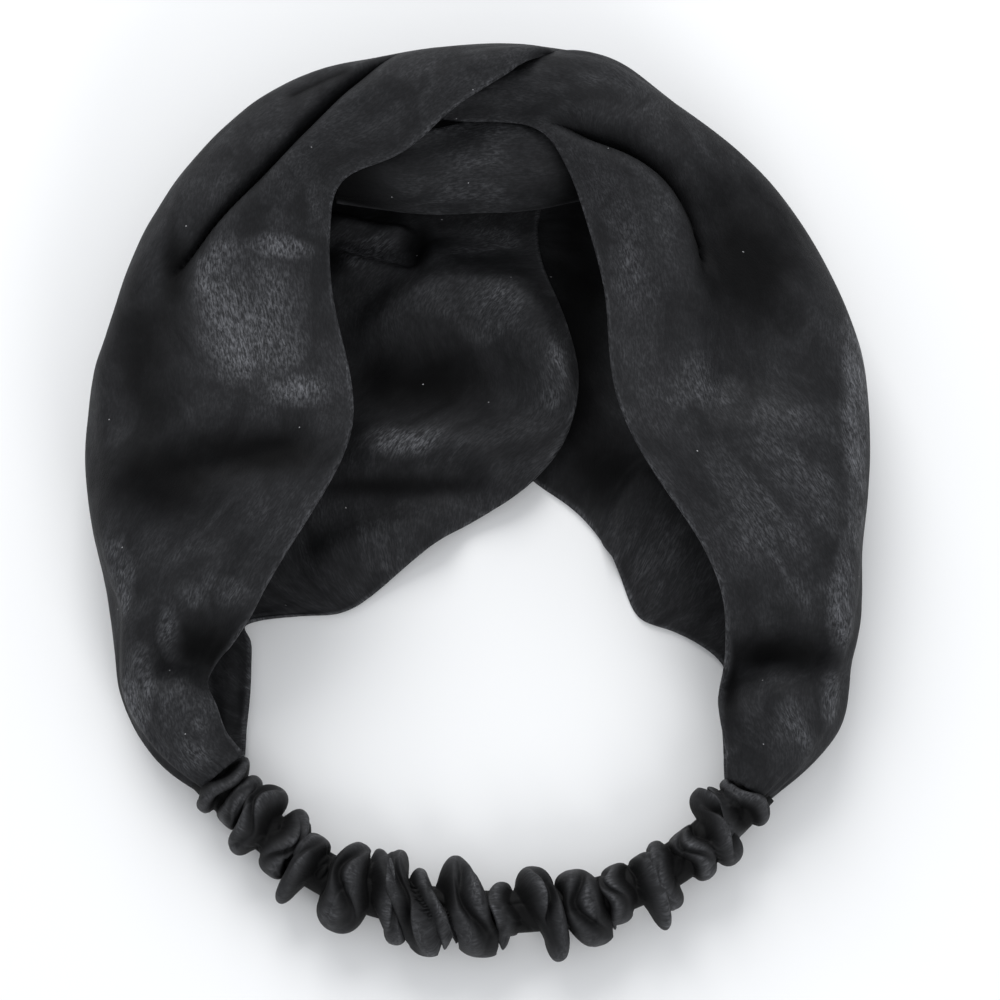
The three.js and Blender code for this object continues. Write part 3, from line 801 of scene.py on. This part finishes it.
# The swells and furrows of the crumple: depths in millimetres, lengths along the tube, turns round
# it, and the furrows' sharpness. They fade towards the tube's two sides.
SWELL_DEPTH = 0.4
SWELL_LENGTH = 2.4
SWELL_TURNS = 1.2
FURROW_DEPTH = 0.55
FURROW_LENGTH = 4.0
FURROW_TURNS = 0.7
FURROW_WIDTH = 0.07
FURROW_START = 31
SIDE_FADE = 0.7


def crumple(along, angle):
    """Soft swells and a few sharp small furrows of the gathered cloth, which run round the tube."""
    turned = Vector((0, math.cos(angle), math.sin(angle)))
    swell = noise.noise(Vector((along / SWELL_LENGTH, 0, 0)) + SWELL_TURNS * turned)
    furrow_at = along / FURROW_LENGTH + FURROW_START
    furrow = noise.noise(Vector((furrow_at, 0, 0)) + FURROW_TURNS * turned)
    return SWELL_DEPTH * swell - FURROW_DEPTH * math.exp(-((furrow / FURROW_WIDTH) ** 2))


def gather_tips(column, side, route, run):
    """How far along the route the gathers' tips on one side are, and how far out from it."""
    tips = np.stack([column[f"{side}_x"], column[f"{side}_y"]], -1)
    apart = np.linalg.norm(route[:, None] - tips, axis=-1)
    return run[apart.argmin(axis=0)], apart.min(axis=0)


def casing_surface(inset):
    """The gathered tube's skin as rings of points, inset millimetres inside the outer one, and how
    near each point is to the crest of a gather, from 0 in a neck to 1."""
    column = {key: np.array([row[key] for row in GATHERS]) for key in GATHER}
    number = np.arange(len(GATHERS))
    own_bend, own_wander, own_lean = np.sin(2.2 * number + 1), 1.7 * number, np.sin(2.3 * number + 0.8)
    stops = np.array(CASING_ROUTE, float)
    route = spline(stops, distances(stops), np.linspace(0, 1, ROUTE_POINTS))
    run = travelled(route)
    inner_spot, inner_reach = gather_tips(column, "inner", route, run)
    outer_spot, outer_reach = gather_tips(column, "outer", route, run)

    # Rings stand across the route, and their points go from its inner side over to its outer one.
    middles = (inner_spot + outer_spot) / 2
    place = np.linspace(middles[0] - CASING_TUCK, middles[-1] + CASING_TUCK, CASING_RINGS)
    axis = np.stack([np.interp(place, run, route[:, k]) for k in range(2)], -1)
    tangent = np.gradient(axis, axis=0)
    tangent /= np.linalg.norm(tangent, axis=1, keepdims=True)
    inward = np.stack([-tangent[:, 1], tangent[:, 0]], -1)
    angle = np.linspace(0, 2 * math.pi, RING_POINTS, endpoint=False)
    over = ((1 - np.cos(angle)) / 2)[:, None]

    # How full every ridge is at every point, less the lip that folds into it.
    ridge = inner_spot * (1 - over) + outer_spot * over
    ridge = ridge + RIDGE_BEND * np.sin(2 * math.pi * over) * own_bend
    half_width = (column["inner_width"] * (1 - over) + column["outer_width"] * over) / 2
    across = (place[:, None, None] - ridge) / half_width
    full = np.sqrt(1 - np.minimum(np.abs(across), 1) ** PUFF)
    wander = LIP_WANDER * np.sin(2 * math.pi * over + own_wander)
    loose = np.clip((2 * half_width - LIP_FROM) / LIP_EASE, 0, 1) * np.sqrt(4 * over * (1 - over))
    full = full * (1 - LIP_DEPTH * loose * np.exp(-(((across - wander) / LIP_WIDTH) ** 2)))

    # Crumple that follows the ridges, and a cut where two of them meet.
    lean = np.interp(place, middles, outer_spot - inner_spot)
    furrow = place[:, None] + lean[:, None] * (0.5 - over[:, 0])
    crease = np.array([[crumple(w, a) for w, a in zip(row, angle)] for row in furrow])
    crease = crease * np.abs(np.sin(angle)) ** SIDE_FADE
    highest = np.sort(full, axis=-1)
    crest, next_crest = highest[..., -1], highest[..., -2]
    crease = crease - NECK_CUT * crest * np.exp(-(((crest - next_crest) / NECK_SHARE) ** 2))

    # The skin is as wide and as high as its fullest ridge, and leans with it along the tube.
    reach = inner_reach * (1 - over) + outer_reach * over
    sideways = NECK_HALF_WIDTH + (full * (reach - NECK_HALF_WIDTH)).max(axis=-1) + crease - inset
    upwards = NECK_HALF_HEIGHT + (full * (column["rise"] - NECK_HALF_HEIGHT)).max(axis=-1) + crease - inset
    share = full**4 + 1e-6
    tilt = (share * LEAN * own_lean).sum(axis=-1) / share.sum(axis=-1)
    tilted = tilt * (upwards - NECK_HALF_HEIGHT) * np.abs(np.sin(angle))
    plan = axis[:, None] + inward[:, None] * (sideways * np.cos(angle))[..., None]
    plan = plan + tangent[:, None] * tilted[..., None]
    height = CASING_AXIS + upwards * np.sin(angle)
    return np.concatenate([plan, height[..., None]], axis=-1), crest


def closed_tube(name, outer, inner, nap_and_painted_light, material):
    """The closed object of a tube's wall, from its outer and inner skins of rings."""
    rings = np.concatenate([outer, inner[::-1]])
    count, around = rings.shape[:2]
    grid = np.arange(count * around).reshape(count, around)
    a, b = grid, np.roll(grid, -1, axis=0)
    c, d = np.roll(b, -1, axis=1), np.roll(a, -1, axis=1)
    quads = np.stack([a, d, c, b], -1).reshape(-1, 4)
    length = travelled(outer[:, 0])
    length = np.concatenate([length, length[::-1]])
    girth = np.linspace(0, CASING_GIRTH, around, endpoint=False)
    cloth_uv = np.stack(np.broadcast_arrays(length[:, None], girth), -1).reshape(-1, 2) * MM
    nap_and_painted_light = np.concatenate([nap_and_painted_light, nap_and_painted_light[::-1]])
    return cloth_object(name, rings.reshape(-1, 3), quads, cloth_uv, nap_and_painted_light, material)


outer_skin, crest = casing_surface(0)
inner_skin = casing_surface(CLOTH_WALL)[0]
casing_satin = crinkled_satin("casing_satin", seed=0.19, gloss=0.12, lint_share=0)
# The casing's nap is painted light: brightest on the crests and black in the necks.
casing_painted_light = CREST_PAINTED_LIGHT * crest**4
gathered_casing = closed_tube("gathered_casing", outer_skin, inner_skin, casing_painted_light, casing_satin)
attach(gathered_casing, "root")
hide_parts("back_casing")

# Elastic: the flat woven strip inside the casing, stretched as it was sewn in, which gathers the
# cloth on it. It doesn't show from outside.
ELASTIC_RIB = 0.0008
WAVE_RADIANS = 20

elastic_finish = plain_material("ribbed_elastic", colour=(0.012, 0.012, 0.013), roughness=0.85)
elastic_nodes, elastic_links = elastic_finish.node_tree.nodes, elastic_finish.node_tree.links
rib_place = elastic_nodes.new("ShaderNodeTexCoord")
ribs = elastic_nodes.new("ShaderNodeTexWave")
ribs.inputs["Scale"].default_value = 2 * math.pi / (WAVE_RADIANS * ELASTIC_RIB)
ribs.inputs["Distortion"].default_value = 0.6
rib_relief = elastic_nodes.new("ShaderNodeBump")
rib_relief.inputs["Distance"].default_value = RELIEF_HEIGHT
elastic_links.new(rib_place.outputs["Object"], ribs.inputs["Vector"])
elastic_links.new(ribs.outputs["Fac"], rib_relief.inputs["Height"])
elastic_links.new(rib_relief.outputs["Normal"], elastic_nodes["Principled BSDF"].inputs["Normal"])
elastic_strip = bpy.data.objects["elastic_strip"]
elastic_strip.data.materials.clear()
elastic_strip.data.materials.append(elastic_finish)
